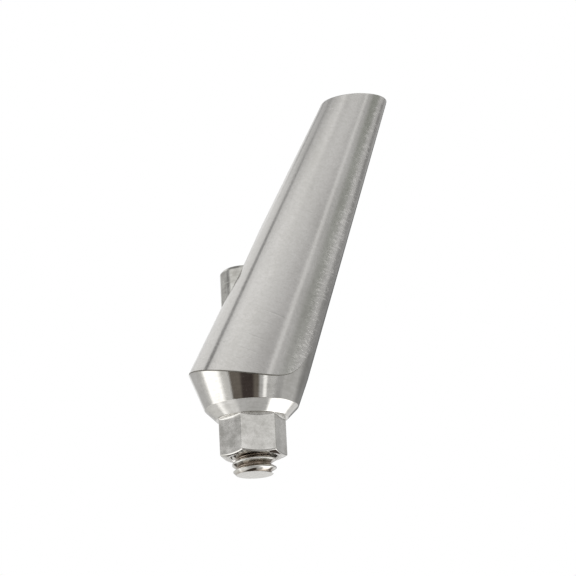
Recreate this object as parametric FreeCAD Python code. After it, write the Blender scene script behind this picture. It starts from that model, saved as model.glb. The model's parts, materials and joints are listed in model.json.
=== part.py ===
import FreeCAD, Part
import math
import os

# Angled dental abutment with its retaining screw. Lengths are millimetres, angles are degrees.
# Z is the implant's axis, with the hexagon below and the post above.
# The origin lies on that axis, on the shelf between the hexagon and the seat bevel.
# The post leans towards +X, over one of the hexagon's flats.

# Implant connection
hex_across_flats = 2.42
hex_height = 1.60
hex_end_flat_diameter = 2.26
hex_end_chamfer_angle = 20.0
shelf_diameter = 2.94
seat_bevel_angle = 45.0
seat_edge_diameter = 3.84

# Post, milled over at an angle, and the collar that it leaves below its margin
post_tilt = 25.0
post_taper = 5.0
collar_flare_over_lean = 1.0
margin_height_lean = 2.45
margin_height_back = 2.02
post_top_height = 12.85
top_edge_break = 0.04

# Screw channel, on the implant's axis
screw_seat_height = 1.83
head_clearance = 0.15
thread_clearance = 0.05
channel_mouth_chamfer = 0.06

# Retaining screw, which stands raised off its seat
screw_raise = 2.28
head_diameter = 2.10
head_height = 2.20
head_edge_chamfer = 0.14
socket_across_flats = 1.25
socket_depth = 1.30
socket_drill_angle = 118.0
shank_diameter = 1.40
thread_diameter = 1.80
thread_length = 3.00
length_under_head = 6.40
tip_flat_diameter = 1.50

Z_AXIS = FreeCAD.Vector(0, 0, 1)
ORIGIN = FreeCAD.Vector(0, 0, 0)


def tan(angle):
    return math.tan(math.radians(angle))


def turned(outline):
    """A solid turned about the implant's axis from (radius, height) points."""
    points = [FreeCAD.Vector(radius, 0, height) for radius, height in outline]
    face = Part.Face(Part.makePolygon(points + points[:1]))
    return face.revolve(ORIGIN, Z_AXIS, 360)


def hexagon(across_flats, low, high):
    """A hexagonal prism with one flat square to +X."""
    corner_radius = across_flats / math.sqrt(3)
    angles = [math.radians(30 + 60 * side) for side in range(6)]
    corners = [FreeCAD.Vector(corner_radius * math.cos(a), corner_radius * math.sin(a), low) for a in angles]
    face = Part.Face(Part.makePolygon(corners + corners[:1]))
    return face.extrude(Z_AXIS * (high - low))


# Heights and radii that follow from the sizes above
seat_edge_radius = seat_edge_diameter / 2
shelf_radius = shelf_diameter / 2
seat_bevel_height = (seat_edge_radius - shelf_radius) / tan(seat_bevel_angle)
lean_slope = tan(post_tilt - post_taper)
back_slope = tan(post_tilt + post_taper)
flare_slope = tan(post_tilt - post_taper + collar_flare_over_lean)
head_bore_radius = head_diameter / 2 + head_clearance
thread_bore_radius = thread_diameter / 2 + thread_clearance


def collar_radius(height):
    return seat_edge_radius + flare_slope * (height - seat_bevel_height)


def make_blank():
    """The turned form: seat bevel, then the collar's flare carried on to the post's top."""
    return turned([
        (0, 0),
        (shelf_radius, 0),
        (seat_edge_radius, seat_bevel_height),
        (collar_radius(post_top_height), post_top_height),
        (0, post_top_height),
    ])


def make_post_cone():
    """The tilted cone that the post is milled to. It meets the flare at the two margin heights."""
    lean_x = collar_radius(margin_height_lean)
    back_x = -collar_radius(margin_height_back)
    lean_at_zero = lean_x - lean_slope * margin_height_lean
    back_at_zero = back_x - back_slope * margin_height_back
    apex_height = (lean_at_zero - back_at_zero) / (back_slope - lean_slope)
    apex = FreeCAD.Vector(lean_at_zero + lean_slope * apex_height, 0, apex_height)
    up_post = FreeCAD.Vector(math.sin(math.radians(post_tilt)), 0, math.cos(math.radians(post_tilt)))
    # The cone starts far enough down its own axis to clear the whole collar
    cone_length = apex_height / up_post.z + 2 * collar_radius(margin_height_lean)
    foot = apex - up_post * cone_length
    return Part.makeCone(cone_length * tan(post_taper), 0, cone_length, foot, up_post)


def make_connection_hexagon():
    prism = hexagon(hex_across_flats, -hex_height, 0)
    end_radius = hex_end_flat_diameter / 2
    limit = turned([
        (0, -hex_height),
        (end_radius, -hex_height),
        (end_radius + hex_height / tan(hex_end_chamfer_angle), 0),
        (0, 0),
    ])
    return prism.common(limit)


def make_screw_channel():
    """A bore for the thread from below, opening out at the screw's seat to let the head in."""
    mouth = -hex_height
    chamfer = channel_mouth_chamfer
    return turned([
        (0, mouth - chamfer),
        (thread_bore_radius + 2 * chamfer, mouth - chamfer),
        (thread_bore_radius, mouth + chamfer),
        (thread_bore_radius, screw_seat_height),
        (head_bore_radius, screw_seat_height),
        (head_bore_radius, post_top_height + head_diameter),
        (0, post_top_height + head_diameter),
    ])


def break_top_edge(body):
    rim = [e for e in body.Edges if e.BoundBox.ZMin > post_top_height - top_edge_break]
    return body.makeChamfer(top_edge_break, rim)


def make_abutment_body():
    post_and_collar = break_top_edge(make_blank().common(make_post_cone()))
    whole = post_and_collar.fuse(make_connection_hexagon())
    return whole.cut(make_screw_channel()).removeSplitter()


def make_retaining_screw():
    """The screw in its raised place: its head's underside stands screw_raise above the seat."""
    under_head = screw_seat_height + screw_raise
    head_top = under_head + head_height
    tip = under_head - length_under_head
    head_radius = head_diameter / 2
    shank_radius = shank_diameter / 2
    thread_radius = thread_diameter / 2
    tip_radius = tip_flat_diameter / 2
    runout = thread_radius - shank_radius
    screw = turned([
        (0, tip),
        (tip_radius, tip),
        (thread_radius, tip + thread_radius - tip_radius),
        (thread_radius, tip + thread_length - runout),
        (shank_radius, tip + thread_length),
        (shank_radius, under_head),
        (head_radius, under_head),
        (head_radius, head_top - head_edge_chamfer),
        (head_radius - head_edge_chamfer, head_top),
        (0, head_top),
    ])
    socket_floor = head_top - socket_depth
    drill_radius = socket_across_flats / 2
    drill_point = turned([
        (0, socket_floor - drill_radius / tan(socket_drill_angle / 2)),
        (drill_radius, socket_floor),
        (0, socket_floor),
    ])
    socket = hexagon(socket_across_flats, socket_floor, head_top).fuse(drill_point)
    return screw.cut(socket)


parts = {
    "abutment_body": make_abutment_body(),
    "retaining_screw": make_retaining_screw(),
}

os.makedirs("parts", exist_ok=True)
for name, shape in parts.items():
    shape.exportStep(f"parts/{name}.step")
    box = shape.optimalBoundingBox()
    print(f"{name}: {len(shape.Solids)} solid, {shape.Volume:.2f} mm3, valid {shape.isValid()},",
          f"x {box.XMin:.2f} to {box.XMax:.2f}, z {box.ZMin:.2f} to {box.ZMax:.2f}")
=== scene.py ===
import bpy
import json
import math
import numpy as np
from mathutils import Matrix, Vector


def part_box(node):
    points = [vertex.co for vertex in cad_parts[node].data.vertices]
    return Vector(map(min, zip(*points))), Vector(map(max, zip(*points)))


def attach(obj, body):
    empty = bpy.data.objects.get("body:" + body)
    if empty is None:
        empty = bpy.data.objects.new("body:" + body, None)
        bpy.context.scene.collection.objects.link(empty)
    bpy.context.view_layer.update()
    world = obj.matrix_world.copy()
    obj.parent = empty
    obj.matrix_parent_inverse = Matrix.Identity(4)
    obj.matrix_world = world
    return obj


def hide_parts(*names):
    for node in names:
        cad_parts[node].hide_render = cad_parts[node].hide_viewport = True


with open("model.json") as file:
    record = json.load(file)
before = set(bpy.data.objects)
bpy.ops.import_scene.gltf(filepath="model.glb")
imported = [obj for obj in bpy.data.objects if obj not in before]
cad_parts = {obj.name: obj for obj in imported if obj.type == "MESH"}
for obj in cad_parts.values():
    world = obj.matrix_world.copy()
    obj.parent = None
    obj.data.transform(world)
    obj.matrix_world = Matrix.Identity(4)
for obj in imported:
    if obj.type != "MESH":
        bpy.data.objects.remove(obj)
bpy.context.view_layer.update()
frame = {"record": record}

mm = 0.001   # the scene is in metres, and the sizes below are in millimetres
mount = {m["name"]: m for m in frame["record"]["mounts"]}

# The camera of the photograph, worked out from the part's outline
shot = {
    "azimuth": 17.834,      # degrees round from the front, towards +X
    "elevation": -16.134,   # it looks up at the part
    "roll": -2.953,
    "distance": 110.4,      # mm to the point looked at
    "across": 1.733,        # where that point lies, mm right of the implant's axis
    "height": 5.493,
    "scale": 24.222,        # photo pixels to 1 mm there
    "photoWidth": 576,
    "sensor": 36.0,
    "clip": (0.01, 10),     # m
}


def direction(azimuth, elevation):
    a, e = math.radians(azimuth), math.radians(elevation)
    return Vector((math.sin(a) * math.cos(e), -math.cos(a) * math.cos(e), math.sin(e)))


def addObject(name, data):
    thing = bpy.data.objects.new(name, data)
    bpy.context.scene.collection.objects.link(thing)
    return thing


def addCamera():
    azimuth, roll = math.radians(shot["azimuth"]), math.radians(shot["roll"])
    back = direction(shot["azimuth"], shot["elevation"])
    right = Vector((math.cos(azimuth), math.sin(azimuth), 0))
    up = back.cross(right)
    pictureRight = right * math.cos(roll) + up * math.sin(roll)
    pictureUp = up * math.cos(roll) - right * math.sin(roll)
    target = (right * shot["across"] + Vector((0, 0, shot["height"]))) * mm
    data = bpy.data.cameras.new("photoCamera")
    data.sensor_width = shot["sensor"]
    data.lens = shot["scale"] * shot["distance"] / shot["photoWidth"] * shot["sensor"]
    data.clip_start, data.clip_end = shot["clip"]
    camera = addObject("photoCamera", data)
    turn = Matrix((pictureRight, pictureUp, back)).transposed().to_4x4()
    camera.matrix_world = Matrix.Translation(target + back * shot["distance"] * mm) @ turn
    bpy.context.scene.camera = camera


addCamera()
print("camera placed")


# Colours and nodes

def linear(hexColour):
    # the sRGB standard's own curve
    channels = [int(hexColour[i:i + 2], 16) / 255 for i in (1, 3, 5)]
    return [c / 12.92 if c <= 0.04045 else ((c + 0.055) / 1.055) ** 2.4 for c in channels] + [1.0]


def addNode(tree, kind, settings=None, **inputs):
    # an input is given by its name, with _ for a space, or by its number, such as _0
    node = tree.nodes.new(kind)
    for name, value in (settings or {}).items():
        setattr(node, name, value)
    for name, value in inputs.items():
        socket = node.inputs[int(name[1:])] if name[1:].isdigit() else node.inputs[name.replace("_", " ")]
        if isinstance(value, bpy.types.NodeSocket):
            tree.links.new(value, socket)
        else:
            socket.default_value = value
    return node


def newMaterial(name):
    material = bpy.data.materials.new(name)
    material.use_nodes = True
    material.node_tree.nodes.clear()
    return material, material.node_tree


# Studio: a white world, a pale floor far below, and soft-edged cards that only reflections see

studio = {
    "centre": (0, 0, 5),        # mm
    "ambient": 0.72,            # the white world's level on matt surfaces
    "floorHeight": -100,        # mm, below the camera
    "floorSize": 3000,
    "floorColour": "#f4f4f2",
    "floorRoughness": 0.9,
    "keyDirection": (-50, 62),  # azimuth and elevation
    "keyDistance": 600,         # mm
    "keySize": 260,
    "keyPower": 0.9,            # W
    "cardDistance": 250,
    "cardGap": 2,               # each card hangs this much nearer than the one before it
    "cardGrid": 2,              # degrees, about, from one row or column of a card's points to the next
}

# Each card: the azimuths of its two sides and the elevations of its two ends in degrees, its light level
# against white, how many degrees it fades on each side of its outline, its colour if it isn't white, and how
# many mm off it hangs if that isn't the usual distance. A card with a lean has sides that move round by the
# first number for each degree of elevation above the second.
cards = {
    # On the left: the collar's wide white bar and the grey beside it, the hexagon's grey and the screw head's
    "leftBox": {"sides": (-89, -46), "ends": (-56, -4), "level": 1.8, "soft": 7, "lean": (0.40, -16)},
    "leftGrey": {"sides": (-140, -98), "ends": (-12, 24), "level": 0.60, "soft": 6},
    "leftRim": {"sides": (-164, -142), "ends": (-12, 4), "level": 0.60, "soft": 4},
    "hexGrey": {"sides": (-98, -57), "ends": (6, 27), "level": 0.53, "soft": 6},
    "headFlag": {"sides": (-74, -60), "ends": (9, 26), "level": 0.28, "soft": 2.5},
    # High up: the dark line down the post's left side, and greys for rounded edges and the thread's flanks
    "leftFlag": {"sides": (-79, -68), "ends": (20, 46), "level": 0.16, "soft": 2.5, "lean": (-0.1, 37),
                 "distance": 60},
    "topFlag": {"sides": (-125, -38), "ends": (47, 72), "level": 0.44, "soft": 6, "distance": 60},
    "backFlag": {"sides": (-172, -118), "ends": (42, 72), "level": 0.36, "soft": 4, "distance": 60},
    "fieldFlag": {"sides": (-60, -4), "ends": (45, 76), "level": 0.62, "soft": 7, "distance": 60},
    "sideFlag": {"sides": (4, 42), "ends": (28, 46), "level": 0.66, "soft": 10, "distance": 60},
    "frontTop": {"sides": (2, 54), "ends": (48, 72), "level": 0.14, "soft": 6, "colour": "#fff2e8"},
    # In front: the post's grey, the collar's dark middle, and the dark line above the hexagon's front flat
    "frontShade": {"sides": (-30, 66), "ends": (-40, 9), "level": 0.58, "soft": 14},
    "footDark": {"sides": (37, 66), "ends": (-56, -38), "level": 0.12, "soft": 3, "colour": "#ffeadc"},
    "frontFlag": {"sides": (-27, 39), "ends": (-52, -10), "level": 0.17, "soft": 3, "colour": "#fff1e2"},
    "frontCore": {"sides": (-3, 26), "ends": (-46, -10), "level": 0.058, "soft": 4, "colour": "#ffe6dc"},
    "shelfDark": {"sides": (33, 51), "ends": (-22, -12), "level": 0.03, "soft": 2, "colour": "#ffe6dc"},
    # On the right: the post's bright line, dark band and rim, and the collar's narrow white bar and grey
    "rightShade": {"sides": (62, 195), "ends": (-26, 40), "level": 0.60, "soft": 4},
    "rightGlow": {"sides": (54, 64), "ends": (-14, 40), "level": 0.93, "soft": 3},
    "rightStrip": {"sides": (49, 57), "ends": (-36, -18), "level": 1.4, "soft": 2.5, "lean": (0.3, -25)},
    "rightDark": {"sides": (82, 113), "ends": (-11, 40), "level": 0.35, "soft": 8, "colour": "#fafff5"},
    "collarShade": {"sides": (78, 96), "ends": (-30, -15), "level": 0.47, "soft": 6},
    "rightEdge": {"sides": (135, 192), "ends": (-7, 9), "level": 0.30, "soft": 4},
    "rimFlag": {"sides": (173, 207), "ends": (7, 52), "level": 0.10, "soft": 3},
    "rightLow": {"sides": (160, 196), "ends": (-26, -6), "level": 0.82, "soft": 3},
    # Low down and behind: the bevel's greys and whites, the thread's highlight and dark grooves, and the tip
    "underCard": {"sides": (-180, 180), "ends": (-90, -55), "level": 0.58, "soft": 8},
    "underLight": {"sides": (-116, -48), "ends": (-70, -50), "level": 1.0, "soft": 10},
    "lowBox": {"sides": (99, 158), "ends": (-72, -27), "level": 2.1, "soft": 7},
    "backDark": {"sides": (172, 232), "ends": (-86, -28), "level": 0.07, "soft": 4, "colour": "#ffeadc"},
    "flankLight": {"sides": (157, 174), "ends": (-60, -41), "level": 2.1, "soft": 3},
    "backLight": {"sides": (184, 212), "ends": (-20, -8), "level": 0.90, "soft": 3},
}


def softStep(low, high, value):
    t = min(max((value - low) / (high - low), 0), 1)
    return t * t * (3 - 2 * t)


def clothMaterial(name, card):
    material, tree = newMaterial(name)
    edge = addNode(tree, "ShaderNodeAttribute", {"attribute_name": "cover"})
    colour = linear(card.get("colour", "#ffffff"))
    glow = addNode(tree, "ShaderNodeEmission", Color=colour, Strength=card["level"])
    clear = addNode(tree, "ShaderNodeBsdfTransparent")
    both = addNode(tree, "ShaderNodeMixShader",
                   _0=edge.outputs["Fac"], _1=clear.outputs[0], _2=glow.outputs[0])
    addNode(tree, "ShaderNodeOutputMaterial", Surface=both.outputs[0])
    return material


def addCard(name, card, number):
    centre = Vector(studio["centre"])
    soft = card["soft"]
    lean, leanFrom = card.get("lean", (0, 0))
    nearer = studio["cardGap"] * (number + 1)
    distance = card.get("distance", studio["cardDistance"]) - nearer
    lowest = studio["floorHeight"] + nearer - centre.z   # from the centre, and above the floor
    (az0, az1), (el0, el1) = card["sides"], card["ends"]
    el0, el1 = max(el0 - soft, -90), min(el1 + soft, 90)
    wide = az1 - az0 >= 360   # goes all the way round, so it has no sides
    if not wide:
        az0, az1 = az0 - soft, az1 + soft
    across = int((az1 - az0) / studio["cardGrid"]) + 1
    tall = int((el1 - el0) / studio["cardGrid"]) + 1
    points, faces, cover = [], [], []
    for row in range(tall + 1):
        el = el0 + (el1 - el0) * row / tall
        up = min(softStep(el0, el0 + 2 * soft, el) if el0 > -90 else 1, softStep(el1, el1 - 2 * soft, el))
        for column in range(across + 1):
            az = az0 + (az1 - az0) * column / across
            side = 1 if wide else min(softStep(az0, az0 + 2 * soft, az), softStep(az1, az1 - 2 * soft, az))
            place = direction(az + lean * (el - leanFrom), el)
            reach = min(distance, lowest / place.z) if place.z < 0 else distance
            points.append((centre + place * reach) * mm)
            cover.append(up * side)
    step = across + 1
    for row in range(tall):
        for column in range(across):
            first = row * step + column
            faces.append((first, first + 1, first + step + 1, first + step))
    mesh = bpy.data.meshes.new(name)
    mesh.from_pydata(points, [], faces)
    mesh.attributes.new("cover", "FLOAT", "POINT").data.foreach_set("value", cover)
    mesh.materials.append(clothMaterial(name + "Cloth", card))
    panel = addObject(name, mesh)
    panel.visible_camera = False
    panel.visible_diffuse = False
    panel.visible_shadow = False
    panel.visible_transmission = False


def addWorld():
    # full white where it is seen, mirrored or looked at through glass, and a little less as a lamp
    world = bpy.data.worlds.new("whiteStudio")
    bpy.context.scene.world = world
    world.use_nodes = True
    tree = world.node_tree
    tree.nodes.clear()
    path = addNode(tree, "ShaderNodeLightPath")
    seen = addNode(tree, "ShaderNodeMath", {"operation": "ADD"},
                   _0=path.outputs["Is Camera Ray"], _1=path.outputs["Is Glossy Ray"])
    seen = addNode(tree, "ShaderNodeMath", {"operation": "ADD", "use_clamp": True},
                   _0=seen.outputs[0], _1=path.outputs["Is Transmission Ray"])
    level = addNode(tree, "ShaderNodeMapRange", Value=seen.outputs[0], To_Min=studio["ambient"], To_Max=1.0)
    sky = addNode(tree, "ShaderNodeBackground", Color=(1, 1, 1, 1), Strength=level.outputs[0])
    addNode(tree, "ShaderNodeOutputWorld", Surface=sky.outputs[0])


def addFloor():
    half = studio["floorSize"] * mm / 2
    height = studio["floorHeight"] * mm
    corners = [(x * half, y * half, height) for x, y in ((-1, -1), (1, -1), (1, 1), (-1, 1))]
    mesh = bpy.data.meshes.new("floor")
    mesh.from_pydata(corners, [], [(0, 1, 2, 3)])
    material, tree = newMaterial("matteWhiteFloor")
    paint = addNode(tree, "ShaderNodeBsdfPrincipled", Base_Color=linear(studio["floorColour"]),
                    Roughness=studio["floorRoughness"])
    addNode(tree, "ShaderNodeOutputMaterial", Surface=paint.outputs[0])
    mesh.materials.append(material)
    addObject("floor", mesh)


def addKeyLamp():
    lamp = bpy.data.lights.new("keyLamp", "AREA")
    lamp.size = studio["keySize"] * mm
    lamp.energy = studio["keyPower"]
    key = addObject("keyLamp", lamp)
    place = direction(*studio["keyDirection"])
    key.location = (Vector(studio["centre"]) + place * studio["keyDistance"]) * mm
    key.rotation_euler = place.to_track_quat("Z", "Y").to_euler()
    key.visible_glossy = False


addWorld()
addFloor()
addKeyLamp()
for number, (name, card) in enumerate(cards.items()):
    addCard(name, card, number)
print("studio set")


# Skins: rings of points joined into one closed surface, with the true normal kept at each point

roundSteps = 4   # faces across the rounding of an edge


def newSkin():
    return {"points": [], "normals": [], "faces": [], "finish": []}


def addRing(skin, points, normals):
    start = len(skin["points"])
    skin["points"].extend(np.asarray(points).tolist())
    skin["normals"].extend(np.asarray(normals).tolist())
    return np.arange(start, start + len(points))


def joinRings(skin, low, high, finish, closed=True):
    count = len(low)
    for i in range(count if closed else count - 1):
        j = (i + 1) % count
        skin["faces"].append((int(low[i]), int(low[j]), int(high[j]), int(high[i])))
        skin["finish"].append(finish)


def unit(vectors):
    return vectors / np.linalg.norm(vectors, axis=-1, keepdims=True)


def crossNormals(ring, along):
    around = np.roll(ring, -1, axis=0) - np.roll(ring, 1, axis=0)
    return unit(np.cross(around, along))


def addChain(skin, corners, start=None, gap=None, edges=None):
    # Joins rings in order. Each corner is (ring, how far its rounding reaches, finish of the run after it).
    # It can start on a ring that is there already, and one run can stay open as a gap. A rounding shares the
    # finishes beside it, apart from those in edges, which gives a corner's number and its own finish.
    # It returns the first and the last ring at each corner.
    runs = []
    for (here, _, _), (there, _, _) in zip(corners, corners[1:]):
        along = unit(there - here)
        runs.append((along, crossNormals(here, along), crossNormals(there, along)))
    first = addRing(skin, corners[0][0], runs[0][1]) if start is None else start
    ends = [(first, first)]
    for i in range(1, len(corners) - 1):
        corner, reach, finish = corners[i]
        before, _, incoming = runs[i - 1]
        after, outgoing, _ = runs[i]
        low, high = corner - before * reach, corner + after * reach
        steps = []
        for u in np.linspace(0, 1, roundSteps + 1):
            points = low * (1 - u) ** 2 + corner * 2 * u * (1 - u) + high * u ** 2
            steps.append(addRing(skin, points, unit(incoming * (1 - u) + outgoing * u)))
        if i - 1 != gap:
            joinRings(skin, ends[-1][1], steps[0], corners[i - 1][2])
        for number, (below, above) in enumerate(zip(steps, steps[1:])):
            shared = corners[i - 1][2] if number < roundSteps / 2 else finish
            joinRings(skin, below, above, (edges or {}).get(i, shared))
        ends.append((steps[0], steps[-1]))
    last = addRing(skin, corners[-1][0], runs[-1][2])
    joinRings(skin, ends[-1][1], last, corners[-2][2])
    return ends + [(last, last)]


def addFan(skin, ring, middle, normal, finish):
    centre = addRing(skin, [middle], [normal])[0]
    shifted = np.roll(ring, -1)
    first, second = (shifted, ring) if normal[2] < 0 else (ring, shifted)
    for a, b in zip(first, second):
        skin["faces"].append((int(a), int(b), int(centre)))
        skin["finish"].append(finish)


def zipRings(skin, inner, outer, finish):
    # joins two rings of unlike counts by walking round both in step
    points = np.array(skin["points"])
    turnIn = np.unwrap(np.arctan2(points[inner, 1], points[inner, 0]))
    turnOut = np.unwrap(np.arctan2(points[outer, 1], points[outer, 0]))
    start = int(np.argmin(np.abs(np.angle(np.exp(1j * (turnOut - turnIn[0]))))))
    outer = np.roll(outer, -start)
    turnOut = np.unwrap(np.arctan2(points[outer, 1], points[outer, 0]))
    turnOut += 2 * math.pi * round((turnIn[0] - turnOut[0]) / (2 * math.pi))
    i = j = 0
    while i < len(inner) or j < len(outer):
        nextIn = turnIn[i + 1] if i + 1 < len(inner) else turnIn[0] + 2 * math.pi
        nextOut = turnOut[j + 1] if j + 1 < len(outer) else turnOut[0] + 2 * math.pi
        a, b = int(inner[i % len(inner)]), int(outer[j % len(outer)])
        if j >= len(outer) or (i < len(inner) and nextIn <= nextOut):
            skin["faces"].append((a, int(inner[(i + 1) % len(inner)]), b))
            i += 1
        else:
            skin["faces"].append((a, int(outer[(j + 1) % len(outer)]), b))
            j += 1
        skin["finish"].append(finish)


def evenTurns(count):
    return np.arange(count) * 2 * math.pi / count


def circle(radius, height, turns):
    radius = radius + 0 * turns
    return np.stack([radius * np.cos(turns), radius * np.sin(turns), height + 0 * turns], axis=-1)


def hexagonRadius(turns, flat, rounding):
    # distance out to a hexagon with a flat square to +X and slightly rounded corners
    offCorner = np.abs((turns % (math.pi / 3)) - math.pi / 6)
    straight = flat / np.cos(math.pi / 6 - offCorner)
    core = (flat - rounding) / math.cos(math.pi / 6)
    arcEnd = math.atan2(rounding / 2, core + rounding * math.cos(math.pi / 6))
    inside = np.maximum(rounding ** 2 - (core * np.sin(offCorner)) ** 2, 0)
    return np.where(offCorner < arcEnd, core * np.cos(offCorner) + np.sqrt(inside), straight)


def slope(angle):
    return math.tan(math.radians(angle))


def finishSkin(skin, name, body, node, finishes):
    mesh = bpy.data.meshes.new(name)
    mesh.from_pydata([[c * mm for c in p] for p in skin["points"]], [], skin["faces"])
    for title, finish in finishes.items():
        mesh.materials.append(addTitanium(title, finish))
    mesh.polygons.foreach_set("material_index", skin["finish"])
    mesh.polygons.foreach_set("use_smooth", [True] * len(mesh.polygons))
    mesh.update()
    mesh.normals_split_custom_set_from_vertices(skin["normals"])
    piece = addObject(name, mesh)
    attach(piece, body)
    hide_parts(node)


# Titanium. Every finish has cloudy patches, tool marks, a fine grain and a few scratches, all from noise.
# Each pattern's three numbers say how many marks it has to 1 mm, twice across the axis and once along it.
# Real marks are finer than 0.05 mm, so they are drawn about 0.1 mm wide here and show as the same sheen.
# Depths are in mm, tilt is the axis's own in degrees, and brushed draws highlights out along that axis.

mixing = {
    # finer layers that each pattern's noise has
    "detail": {"clouds": 3, "marks": 3, "grain": 1, "scratches": 0, "strokes": 1},
    "grainInTexture": 0.4,          # shares of the second pattern where two are mixed
    "textureInShade": 0.5,
    "marksInRoughness": 0.3,
    "shadeReach": (0.38, 0.62),     # levels of the noise between which an effect comes in
    "roughReach": (0.35, 0.65),
    "scratchReach": (0.75, 0.80),
    "strokeReach": (0.54, 0.62),
}


def multiply(tree, vector, factors):
    return addNode(tree, "ShaderNodeVectorMath", {"operation": "MULTIPLY"}, _0=vector, _1=factors).outputs[0]


def blend(tree, share, first, second):
    return addNode(tree, "ShaderNodeMix", _0=share, _2=first, _3=second).outputs[0]


def blendColours(tree, share, first, second):
    return addNode(tree, "ShaderNodeMix", {"data_type": "RGBA"}, _0=share, _6=first, _7=second).outputs[2]


def span(tree, value, reach, low=0.0, high=1.0):
    # low before the reach, high after it, and even in between
    start, end = reach
    spread = addNode(tree, "ShaderNodeMapRange", Value=value, From_Min=start, From_Max=end, To_Min=low,
                     To_Max=high)
    return spread.outputs[0]


def paintGrooveShade(tree, place, grooveShade, tint):
    # painted shade: a brown tone low in the grooves, by the distance out from the axis in mm, for the shade
    # that falls there
    out = addNode(tree, "ShaderNodeVectorMath", {"operation": "LENGTH"}, _0=multiply(tree, place, (1, 1, 0)))
    return blendColours(tree, span(tree, out.outputs["Value"], grooveShade["reach"]), linear(grooveShade["colour"]), tint)


def wornRoughness(tree, normal, strokes, worn, rough):
    # short strokes that stand out on one side, where the tool cut coarser
    middle = direction(worn["azimuth"], worn["elevation"])
    facing = addNode(tree, "ShaderNodeVectorMath", {"operation": "DOT_PRODUCT"}, _0=normal, _1=middle)
    fade = [math.cos(math.radians(angle)) for angle in worn["spread"]]
    share = addNode(tree, "ShaderNodeMath", {"operation": "MULTIPLY"},
                    _0=span(tree, strokes, mixing["strokeReach"]),
                    _1=span(tree, facing.outputs["Value"], fade))
    return blend(tree, share.outputs[0], rough, worn["rough"])


def addTitanium(name, finish):
    material, tree = newMaterial(name)
    tilt = math.radians(finish.get("tilt", 0))
    where = addNode(tree, "ShaderNodeTexCoord")
    place = addNode(tree, "ShaderNodeMapping", Vector=where.outputs["Object"], Rotation=(0, -tilt, 0),
                    Scale=(1 / mm, 1 / mm, 1 / mm)).outputs[0]

    def pattern(kind, stretch):
        spread = multiply(tree, place, stretch)
        noise = addNode(tree, "ShaderNodeTexNoise", Vector=spread, Scale=1.0, Detail=mixing["detail"][kind])
        return noise.outputs["Fac"]

    kinds = ("clouds", "marks", "grain", "scratches")
    clouds, marks, grain, scratches = [pattern(kind, finish[kind]) for kind in kinds]
    texture = blend(tree, mixing["grainInTexture"], marks, grain)
    shade = span(tree, blend(tree, mixing["textureInShade"], clouds, texture), mixing["shadeReach"])
    tint = blendColours(tree, shade, linear(finish["dull"]), linear(finish["pale"]))
    # painted shade in the thread's grooves: a brown tone by the distance out from the axis
    if "grooveShade" in finish:
        tint = paintGrooveShade(tree, place, finish["grooveShade"], tint)
    rough = span(tree, blend(tree, mixing["marksInRoughness"], clouds, marks), mixing["roughReach"],
                 *finish["rough"])
    if "worn" in finish:
        worn = finish["worn"]
        rough = wornRoughness(tree, where.outputs["Normal"], pattern("strokes", worn["strokes"]), worn, rough)
    marked = addNode(tree, "ShaderNodeBump", Height=texture, Distance=finish["markDepth"] * mm)
    grooves = span(tree, scratches, mixing["scratchReach"])
    scored = addNode(tree, "ShaderNodeBump", {"invert": True}, Height=grooves,
                     Distance=finish["scratchDepth"] * mm, Normal=marked.outputs[0])
    along = addNode(tree, "ShaderNodeCombineXYZ", X=math.sin(tilt), Z=math.cos(tilt))
    metal = addNode(tree, "ShaderNodeBsdfPrincipled", Base_Color=tint, Metallic=1.0, Roughness=rough,
                    Anisotropic=finish.get("brushed", 0), Tangent=along.outputs[0], Normal=scored.outputs[0])
    addNode(tree, "ShaderNodeOutputMaterial", Surface=metal.outputs[0])
    return material


# Abutment, from the hexagon's end up to the post's top

abutment = {
    "hexFlat": mount["implant_hexagon"]["dims"]["r_mm"],
    "hexHeight": mount["implant_hexagon"]["dims"]["length_mm"],
    "hexCornerRounding": 0.05,
    "hexEndRadius": 1.13,
    "hexEndAngle": 20.0,
    "shelfRadius": 1.47,
    "bevelAngle": 45.0,
    "seatRadius": mount["seat_bevel"]["dims"]["r_mm"],
    "collarFlare": 21.0,
    "marginLean": 2.45,     # heights of the margin on the lean side and at the back
    "marginBack": 2.02,
    "marginSearch": (1.0, 4.0),   # heights between which it is looked for
    "halvings": 50,         # rounds of that search
    "tilt": 25.0,
    "taper": 5.0,
    "top": 12.85,
    "headBore": 1.20,
    "threadBore": 0.95,
    "screwSeat": 1.83,
    "mouthChamfer": 0.06,
    "hexEdge": 0.05,        # how far each rounded edge reaches
    "shelfEdge": 0.035,
    "sharpEdge": 0.012,
    "seatEdge": 0.02,
    "marginEdge": 0.028,
    "topEdge": 0.045,
    "mouthEdge": 0.025,
    "filletShare": 0.55,    # of the shelf's width, under each flat
    "fadeCrease": 9.0,      # degrees of crease below which the margin's edge narrows
    "leastEdge": 0.1,       # share of that edge which always stays
    "strip": 0.02,          # flat left beside an edge on the end face
    "topRing": 0.5,         # share of the top's radius where its inner ring lies
    "columns": 576,
    "rows": 44,             # along the post, beside the channel's mouth
    "mouthFrame": (0.12, 0.70),   # stretch of the post, margin to top, that holds the mouth
    "mouthSide": 50,        # degrees each side of the back
    "mouthRings": 12,
    "mouthCrowding": 1.5,   # above 1, the rings lie closer together towards the mouth
    "mouthSamples": 2400,
}
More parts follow.
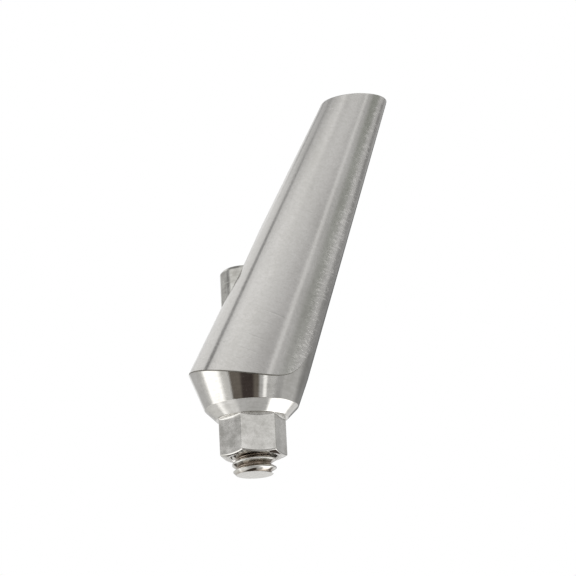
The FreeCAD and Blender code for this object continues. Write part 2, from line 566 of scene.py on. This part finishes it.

# The numbers of its finishes, which come in the same order; dull is the margin's painted shade
satin, polished, milled, bored, dull = range(5)
abutmentFinishes = {
    # Post, satin from a turning tool: long soft bands of light, and short bright strokes round its right side
    "turnedSatinTitanium": {
        "pale": "#d6d4d1", "dull": "#c4c2be", "rough": (0.18, 0.27),
        "clouds": (0.9, 0.9, 0.3), "marks": (4.5, 4.5, 8.5), "grain": (13, 13, 13),
        "scratches": (0.7, 0.7, 9.0), "markDepth": 0.0016, "scratchDepth": 0.0015,
        "tilt": abutment["tilt"], "brushed": 0.75,
        "worn": {"azimuth": 74.0, "elevation": -18.5, "spread": (17.0, 4.0), "strokes": (2.8, 2.8, 13.0),
                 "rough": 0.40},
    },
    # Collar and bevel, mirror polish: hard-edged dark and white reflections, hardly waved
    "polishedTitanium": {
        "pale": "#d8d6d2", "dull": "#c2c0bb", "rough": (0.04, 0.11),
        "clouds": (1.1, 1.1, 1.1), "marks": (1.5, 1.5, 11.0), "grain": (9, 9, 9),
        "scratches": (0.8, 0.8, 10.0), "markDepth": 0.00035, "scratchDepth": 0.0006,
    },
    # Hexagon, flats from a fine cutter: even satin with darker clouds
    "milledSatinTitanium": {
        "pale": "#e9e7e3", "dull": "#c0beb9", "rough": (0.20, 0.32),
        "clouds": (1.5, 1.5, 1.1), "marks": (2.5, 2.5, 5.0), "grain": (10, 10, 10),
        "scratches": (0.9, 0.9, 6.0), "markDepth": 0.0008, "scratchDepth": 0.001,
    },
    # Channel, left from the drill: dull rings round it
    "drilledTitanium": {
        "pale": "#d6d4cf", "dull": "#bab8b2", "rough": (0.32, 0.45),
        "clouds": (1.0, 1.0, 0.7), "marks": (0.6, 0.6, 7.0), "grain": (12, 12, 12),
        "scratches": (0.6, 0.6, 6.0), "markDepth": 0.005, "scratchDepth": 0.003,
    },
    # Margin, the line where satin meets polish: painted shade, a dull dark colour for the shade in the crease
    # there
    "marginShadeTitanium": {
        "pale": "#8f8c85", "dull": "#75726b", "rough": (0.35, 0.5),
        "clouds": (1.5, 1.5, 1.5), "marks": (3.0, 3.0, 9.0), "grain": (13, 13, 13),
        "scratches": (0.8, 0.8, 9.0), "markDepth": 0.001, "scratchDepth": 0.001,
    },
}

# What follows from the sizes. The collar is an upright cone, and the post a tilted one.
foot = -abutment["hexHeight"]
bevelTop = (abutment["seatRadius"] - abutment["shelfRadius"]) / slope(abutment["bevelAngle"])
leanSlope = slope(abutment["tilt"] - abutment["taper"])
backSlope = slope(abutment["tilt"] + abutment["taper"])
postSpread = slope(abutment["taper"])
postTilt = math.radians(abutment["tilt"])
upPost = np.array([math.sin(postTilt), 0, math.cos(postTilt)])
acrossPost = np.array([math.cos(postTilt), 0, -math.sin(postTilt)])
sideways = np.array([0, 1.0, 0])


def collarRadius(height):
    return abutment["seatRadius"] + slope(abutment["collarFlare"]) * (height - bevelTop)


def findApex():
    # the post's cone meets the collar at the two margin heights
    lean = collarRadius(abutment["marginLean"]) - leanSlope * abutment["marginLean"]
    back = -collarRadius(abutment["marginBack"]) - backSlope * abutment["marginBack"]
    height = (lean - back) / (backSlope - leanSlope)
    return np.array([lean + leanSlope * height, 0, height])


apex = findApex()


def inPost(points):
    down = (apex - points) @ upPost
    off = points - apex + down[..., None] * upPost
    return np.linalg.norm(off, axis=-1) < down * postSpread


def onPost(turn, down):
    # the point at that turn round the post's own axis, so far down from the apex
    turn, down = np.asarray(turn)[..., None], np.asarray(down)[..., None]
    return apex - upPost * down + down * postSpread * (np.cos(turn) * acrossPost + np.sin(turn) * sideways)


def postNormal(turn):
    turn = np.asarray(turn)[..., None]
    return unit(np.cos(turn) * acrossPost + np.sin(turn) * sideways + postSpread * upPost)


def postPlace(points):
    # the turn and the distance down that onPost takes
    off = points - apex
    return np.arctan2(off @ sideways, off @ acrossPost) % (2 * math.pi), -(off @ upPost)


def leavePost(radiusAt, low, high, turns):
    # where a surface of that radius about the implant's axis comes out of the post, a point for each turn
    low, high = low + 0 * turns, high + 0 * turns
    for _ in range(abutment["halvings"]):
        middle = (low + high) / 2
        inside = inPost(circle(radiusAt(middle), middle, turns))
        low, high = np.where(inside, middle, low), np.where(inside, high, middle)
    height = (low + high) / 2
    return circle(radiusAt(height), height, turns)


def marginReach(turns, around):
    # the margin's painted shade narrows on the lean side, where collar and post run into each other and the
    # crease is shallow
    flare = math.radians(abutment["collarFlare"])
    outward = circle(math.cos(flare), -math.sin(flare), turns)
    crease = np.degrees(np.arccos(np.clip((outward * postNormal(around)).sum(axis=-1), -1, 1)))
    return abutment["marginEdge"] * np.clip(crease / abutment["fadeCrease"], abutment["leastEdge"], 1)


def topEdgeRing(around):
    fall = upPost[2] - postSpread * np.cos(around) * acrossPost[2]
    return onPost(around, (apex[2] - abutment["top"]) / fall)


def addPostRows(skin, low, high, around):
    # the post in rows, from the margin to the top's edge, with a frame left open at the back for the
    # channel's mouth. It returns the frame's points, in order.
    size = abutment
    points = np.array(skin["points"])
    lowPoints, highPoints = points[low], points[high]
    rows = [low]
    for level in np.linspace(*size["mouthFrame"], size["rows"] + 1):
        rows.append(addRing(skin, lowPoints + (highPoints - lowPoints) * level, postNormal(around)))
    rows.append(high)
    back = size["columns"] // 2
    side = int(size["mouthSide"] / 360 * size["columns"])
    left, right = back - side, back + side   # the frame's columns
    beside = np.arange(right, left + size["columns"] + 1) % size["columns"]
    joinRings(skin, rows[0], rows[1], satin)
    for below, above in zip(rows[1:-2], rows[2:-1]):
        joinRings(skin, below[beside], above[beside], satin, closed=False)
    joinRings(skin, rows[-2], rows[-1], satin)
    inside = rows[1:-1]
    border = [inside[-1][c] for c in range(left, right)]
    border += [row[right] for row in inside[::-1]][:-1]
    border += [inside[0][c] for c in range(right, left, -1)]
    border += [row[left] for row in inside][:-1]
    return np.array(border[::-1])


def channelRadius(height):
    return abutment["headBore"]   # the same at every height


def mouthPoint(turn):
    return leavePost(channelRadius, abutment["marginLean"], abutment["top"], turn)


def addMouth(skin, border):
    # rings on the post's surface, from the frame in to the mouth. It returns the last ring, the mouth's edge
    # and the turns of the edge's points round the implant's axis.
    size = abutment
    samples = np.linspace(0, 2 * math.pi, size["mouthSamples"], endpoint=False)
    sampleAround, sampleDown = postPlace(mouthPoint(samples))
    middleDown = (sampleDown.min() + sampleDown.max()) / 2

    def bearing(around, down):
        # direction from the mouth's middle, on the post's surface laid flat
        return np.arctan2(middleDown - down, (around - math.pi) * middleDown * postSpread)

    borderAround, borderDown = postPlace(np.array(skin["points"])[border])
    bearings = bearing(sampleAround, sampleDown)
    order = np.argsort(bearings)
    laps = np.array([[-2 * math.pi], [0], [2 * math.pi]])   # a lap to spare at both ends
    turn = np.interp(bearing(borderAround, borderDown), (bearings[order] + laps).ravel(),
                     (np.unwrap(samples[order]) + laps).ravel())
    edge = mouthPoint(turn)
    edgeAround, edgeDown = postPlace(edge)
    ring = border
    for number in range(1, size["mouthRings"] + 1):
        share = 1 - (1 - number / (size["mouthRings"] + 1)) ** size["mouthCrowding"]
        around = borderAround + (edgeAround - borderAround) * share
        down = borderDown + (edgeDown - borderDown) * share
        following = addRing(skin, onPost(around, down), postNormal(around))
        joinRings(skin, ring, following, satin)
        ring = following
    return ring, edge, turn


def addChannel(skin, ring, edge, turn):
    # the stepped bore, from the mouth down to the hexagon's end
    size = abutment
    endRadius = size["threadBore"] + size["mouthChamfer"]
    ends = addChain(skin, [
        (np.array(skin["points"])[ring], 0, satin),
        (edge, size["mouthEdge"], bored),
        (circle(size["headBore"], size["screwSeat"], turn), size["seatEdge"], bored),
        (circle(size["threadBore"], size["screwSeat"], turn), size["seatEdge"], bored),
        (circle(size["threadBore"], foot + size["mouthChamfer"], turn), size["sharpEdge"], milled),
        (circle(endRadius, foot, turn), size["sharpEdge"], milled),
        (circle(endRadius + size["strip"], foot, turn), 0, milled),
    ], start=ring)
    return ends[-1][1]


def buildAbutment():
    size = abutment
    turns = evenTurns(size["columns"])
    hexRadius = hexagonRadius(turns, size["hexFlat"], size["hexCornerRounding"])
    hexEnd = foot + (hexRadius - size["hexEndRadius"]) * slope(size["hexEndAngle"])
    fillet = size["filletShare"] * (size["shelfRadius"] - size["shelfEdge"] - hexRadius)
    margin = leavePost(collarRadius, *size["marginSearch"], turns)
    around, _ = postPlace(margin)
    topEdge = topEdgeRing(around)
    topMiddle = topEdge.mean(axis=0)
    hexEndCorner, hexTopCorner, marginCorner, topCorner = 2, 3, 6, 7   # their places in the list below
    skin = newSkin()
    # the margin's rounding takes the dull finish, painted shade for the crease between collar and post
    ends = addChain(skin, [
        (circle(size["hexEndRadius"] - size["strip"], foot, turns), 0, milled),
        (circle(size["hexEndRadius"], foot, turns), size["sharpEdge"], polished),
        (circle(hexRadius, hexEnd, turns), size["hexEdge"], milled),
        (circle(hexRadius, 0, turns), fillet[:, None], polished),
        (circle(size["shelfRadius"], 0, turns), size["shelfEdge"], polished),
        (circle(size["seatRadius"], bevelTop, turns), size["seatEdge"], polished),
        (margin, marginReach(turns, around)[:, None], satin),
        (topEdge, size["topEdge"], satin),
        (topMiddle + (topEdge - topMiddle) * size["topRing"], 0, satin),
    ], gap=marginCorner, edges={hexEndCorner: polished, hexTopCorner: milled, marginCorner: dull})
    addFan(skin, ends[-1][1], topMiddle, (0, 0, 1), satin)
    border = addPostRows(skin, ends[marginCorner][1], ends[topCorner][0], around)
    ring, edge, turn = addMouth(skin, border)
    channelEnd = addChannel(skin, ring, edge, turn)
    zipRings(skin, channelEnd, ends[0][0], milled)
    return skin


skin = buildAbutment()
finishSkin(skin, "abutment", "abutment", "abutment_body", abutmentFinishes)
print("abutment built,", len(skin["faces"]), "faces")


# Retaining screw, standing raised in the channel

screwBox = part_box("retaining_screw")
screw = {
    "tip": screwBox[0][2] / mm,
    "headTop": screwBox[1][2] / mm,
    "headRadius": 1.05,
    "headHeight": 2.20,
    "headChamfer": 0.14,
    "socketFlat": mount["driver_socket"]["dims"]["r_mm"],
    "socketDepth": mount["driver_socket"]["dims"]["length_mm"],
    "socketCorner": 0.03,
    "drillAngle": 118.0,
    "shankRadius": 0.70,
    "threadRadius": mount["screw_thread"]["dims"]["r_mm"],
    "threadLength": mount["screw_thread"]["dims"]["length_mm"],
    "threadRoot": 0.685,
    "pitch": 0.35,
    "crestHeight": -1.71,   # a crest's height on the +X side, read off the photograph
    "crestWidth": 0.060,
    "flankAngle": 30.0,     # from square to the axis
    "flankRounding": 0.15,  # of the flank's length, at crest and root
    "slopeStep": 0.004,     # mm up and radians round, over which the thread's slope is measured
    "tipRadius": 0.75,
    "headEdge": 0.02,       # how far each rounded edge reaches
    "faceEdge": 0.01,
    "threadRows": 280,
    "columns": 240,
}

# The numbers of its finishes, which come in the same order
turned, broached, rolled, faced = range(4)
screwFinishes = {
    # Head and shank, straight from the lathe: mottled satin
    "turnedMottledTitanium": {
        "pale": "#d6d5d0", "dull": "#adaba5", "rough": (0.12, 0.22),
        "clouds": (2.6, 2.6, 2.2), "marks": (1.2, 1.2, 8.0), "grain": (12, 12, 12),
        "scratches": (0.7, 0.7, 7.0), "markDepth": 0.0012, "scratchDepth": 0.003,
    },
    # Broached socket: dull, with marks down its walls
    "broachedTitanium": {
        "pale": "#bdbbb5", "dull": "#8f8d86", "rough": (0.25, 0.4),
        "clouds": (1.5, 1.5, 1.0), "marks": (9.0, 9.0, 0.8), "grain": (12, 12, 12),
        "scratches": (6.0, 6.0, 0.6), "markDepth": 0.004, "scratchDepth": 0.003,
    },
    # Rolled thread: burnished flanks that mirror what is round them, with painted shade, a browner tone, low
    # in the grooves
    "rolledTitanium": {
        "pale": "#dedcd7", "dull": "#c6c4be", "rough": (0.05, 0.10),
        "clouds": (1.8, 1.8, 1.8), "marks": (1.5, 1.5, 9.0), "grain": (8, 8, 8),
        "scratches": (0.9, 0.9, 9.0), "markDepth": 0.0003, "scratchDepth": 0.0006,
        # painted shade, browner low in the grooves
        "grooveShade": {"reach": (0.71, 0.85), "colour": "#a2988d"},
    },
    # Faced end: smooth with faint clouds
    "facedTitanium": {
        "pale": "#d8d6d1", "dull": "#c4c2bc", "rough": (0.12, 0.20),
        "clouds": (1.6, 1.6, 1.6), "marks": (4.0, 4.0, 4.0), "grain": (9, 9, 9),
        "scratches": (5.0, 0.8, 1.0), "markDepth": 0.0005, "scratchDepth": 0.0008,
    },
}


def threadRadiusAt(turn, height):
    # straight flanks, a little rounded, cut off by the chamfer at the tip and running out at the shank
    size = screw
    depth = size["threadRadius"] - size["threadRoot"]
    lap = (height - size["crestHeight"]) / size["pitch"] - turn / (2 * math.pi)
    fromCrest = np.abs((lap + 0.5) % 1 - 0.5) * size["pitch"] - size["crestWidth"] / 2
    down = fromCrest / (depth * slope(size["flankAngle"]))   # 0 at the crest's edge, 1 at the root
    soft = size["flankRounding"]
    atCrest = np.clip(down + soft, 0, 2 * soft)
    straight = np.clip(down, soft, 1 - soft) - soft
    atRoot = np.clip(down - 1 + soft, 0, 2 * soft)
    fallen = atCrest ** 2 / (4 * soft) + straight + atRoot - atRoot ** 2 / (4 * soft)
    radius = size["threadRadius"] - depth * np.minimum(fallen, 1)
    radius = np.minimum(radius, size["tipRadius"] + height - size["tip"])
    runout = np.maximum(size["tip"] + size["threadLength"] - height, 0)
    return np.minimum(radius, size["shankRadius"] + runout)


def threadNormalAt(turn, height):
    step = screw["slopeStep"]
    radius = threadRadiusAt(turn, height)
    risen = (threadRadiusAt(turn, height + step) - threadRadiusAt(turn, height - step)) / (2 * step)
    swung = (threadRadiusAt(turn + step, height) - threadRadiusAt(turn - step, height)) / (2 * step)
    out = np.stack([np.cos(turn), np.sin(turn), 0 * turn], axis=-1)
    side = np.stack([-np.sin(turn), np.cos(turn), 0 * turn], axis=-1)
    up = np.array([0, 0, 1.0])
    return unit(out * radius[..., None] - side * swung[..., None] - up * (radius * risen)[..., None])


def addThread(skin, turns, tip, end):
    # the faced tip and the thread above it. It returns the last ring.
    faceRadius = threadRadiusAt(turns, tip) - screw["faceEdge"]
    faceRing = addRing(skin, circle(faceRadius, tip, turns), [(0, 0, -1)] * len(turns))
    addFan(skin, faceRing, (0, 0, tip), (0, 0, -1), faced)
    ring = faceRing
    for height in np.linspace(tip, end, screw["threadRows"]):
        points = circle(threadRadiusAt(turns, height), height, turns)
        following = addRing(skin, points, threadNormalAt(turns, height))
        joinRings(skin, ring, following, faced if ring is faceRing else rolled)
        ring = following
    return ring


def buildScrew():
    size = screw
    turns = evenTurns(size["columns"])
    top, tip = size["headTop"], size["tip"]
    under = top - size["headHeight"]
    floor = top - size["socketDepth"]
    threadEnd = tip + size["threadLength"]
    hexRadius = hexagonRadius(turns, size["socketFlat"], size["socketCorner"])
    drillDepth = size["socketFlat"] / slope(size["drillAngle"] / 2)
    halfDrilled = circle(size["socketFlat"] / 2, floor - drillDepth / 2, turns)   # half way to the point
    headEdge, faceEdge = size["headEdge"], size["faceEdge"]
    skin = newSkin()
    ring = addThread(skin, turns, tip, threadEnd)
    ends = addChain(skin, [
        (circle(size["shankRadius"], threadEnd, turns), 0, turned),
        (circle(size["shankRadius"], under, turns), headEdge, turned),
        (circle(size["headRadius"], under, turns), headEdge, turned),
        (circle(size["headRadius"], top - size["headChamfer"], turns), headEdge, turned),
        (circle(size["headRadius"] - size["headChamfer"], top, turns), headEdge, turned),
        (circle(hexRadius, top, turns), headEdge, broached),
        (circle(hexRadius, floor, turns), faceEdge, broached),
        (circle(size["socketFlat"] - faceEdge, floor, turns), faceEdge, broached),
        (halfDrilled, 0, broached),
    ], start=ring)
    addFan(skin, ends[-1][1], (0, 0, floor - drillDepth), (0, 0, 1), broached)
    return skin


skin = buildScrew()
finishSkin(skin, "screw", "screw", "retaining_screw", screwFinishes)
print("screw built,", len(skin["faces"]), "faces")

scene = bpy.context.scene
scene.view_settings.view_transform = "Standard"
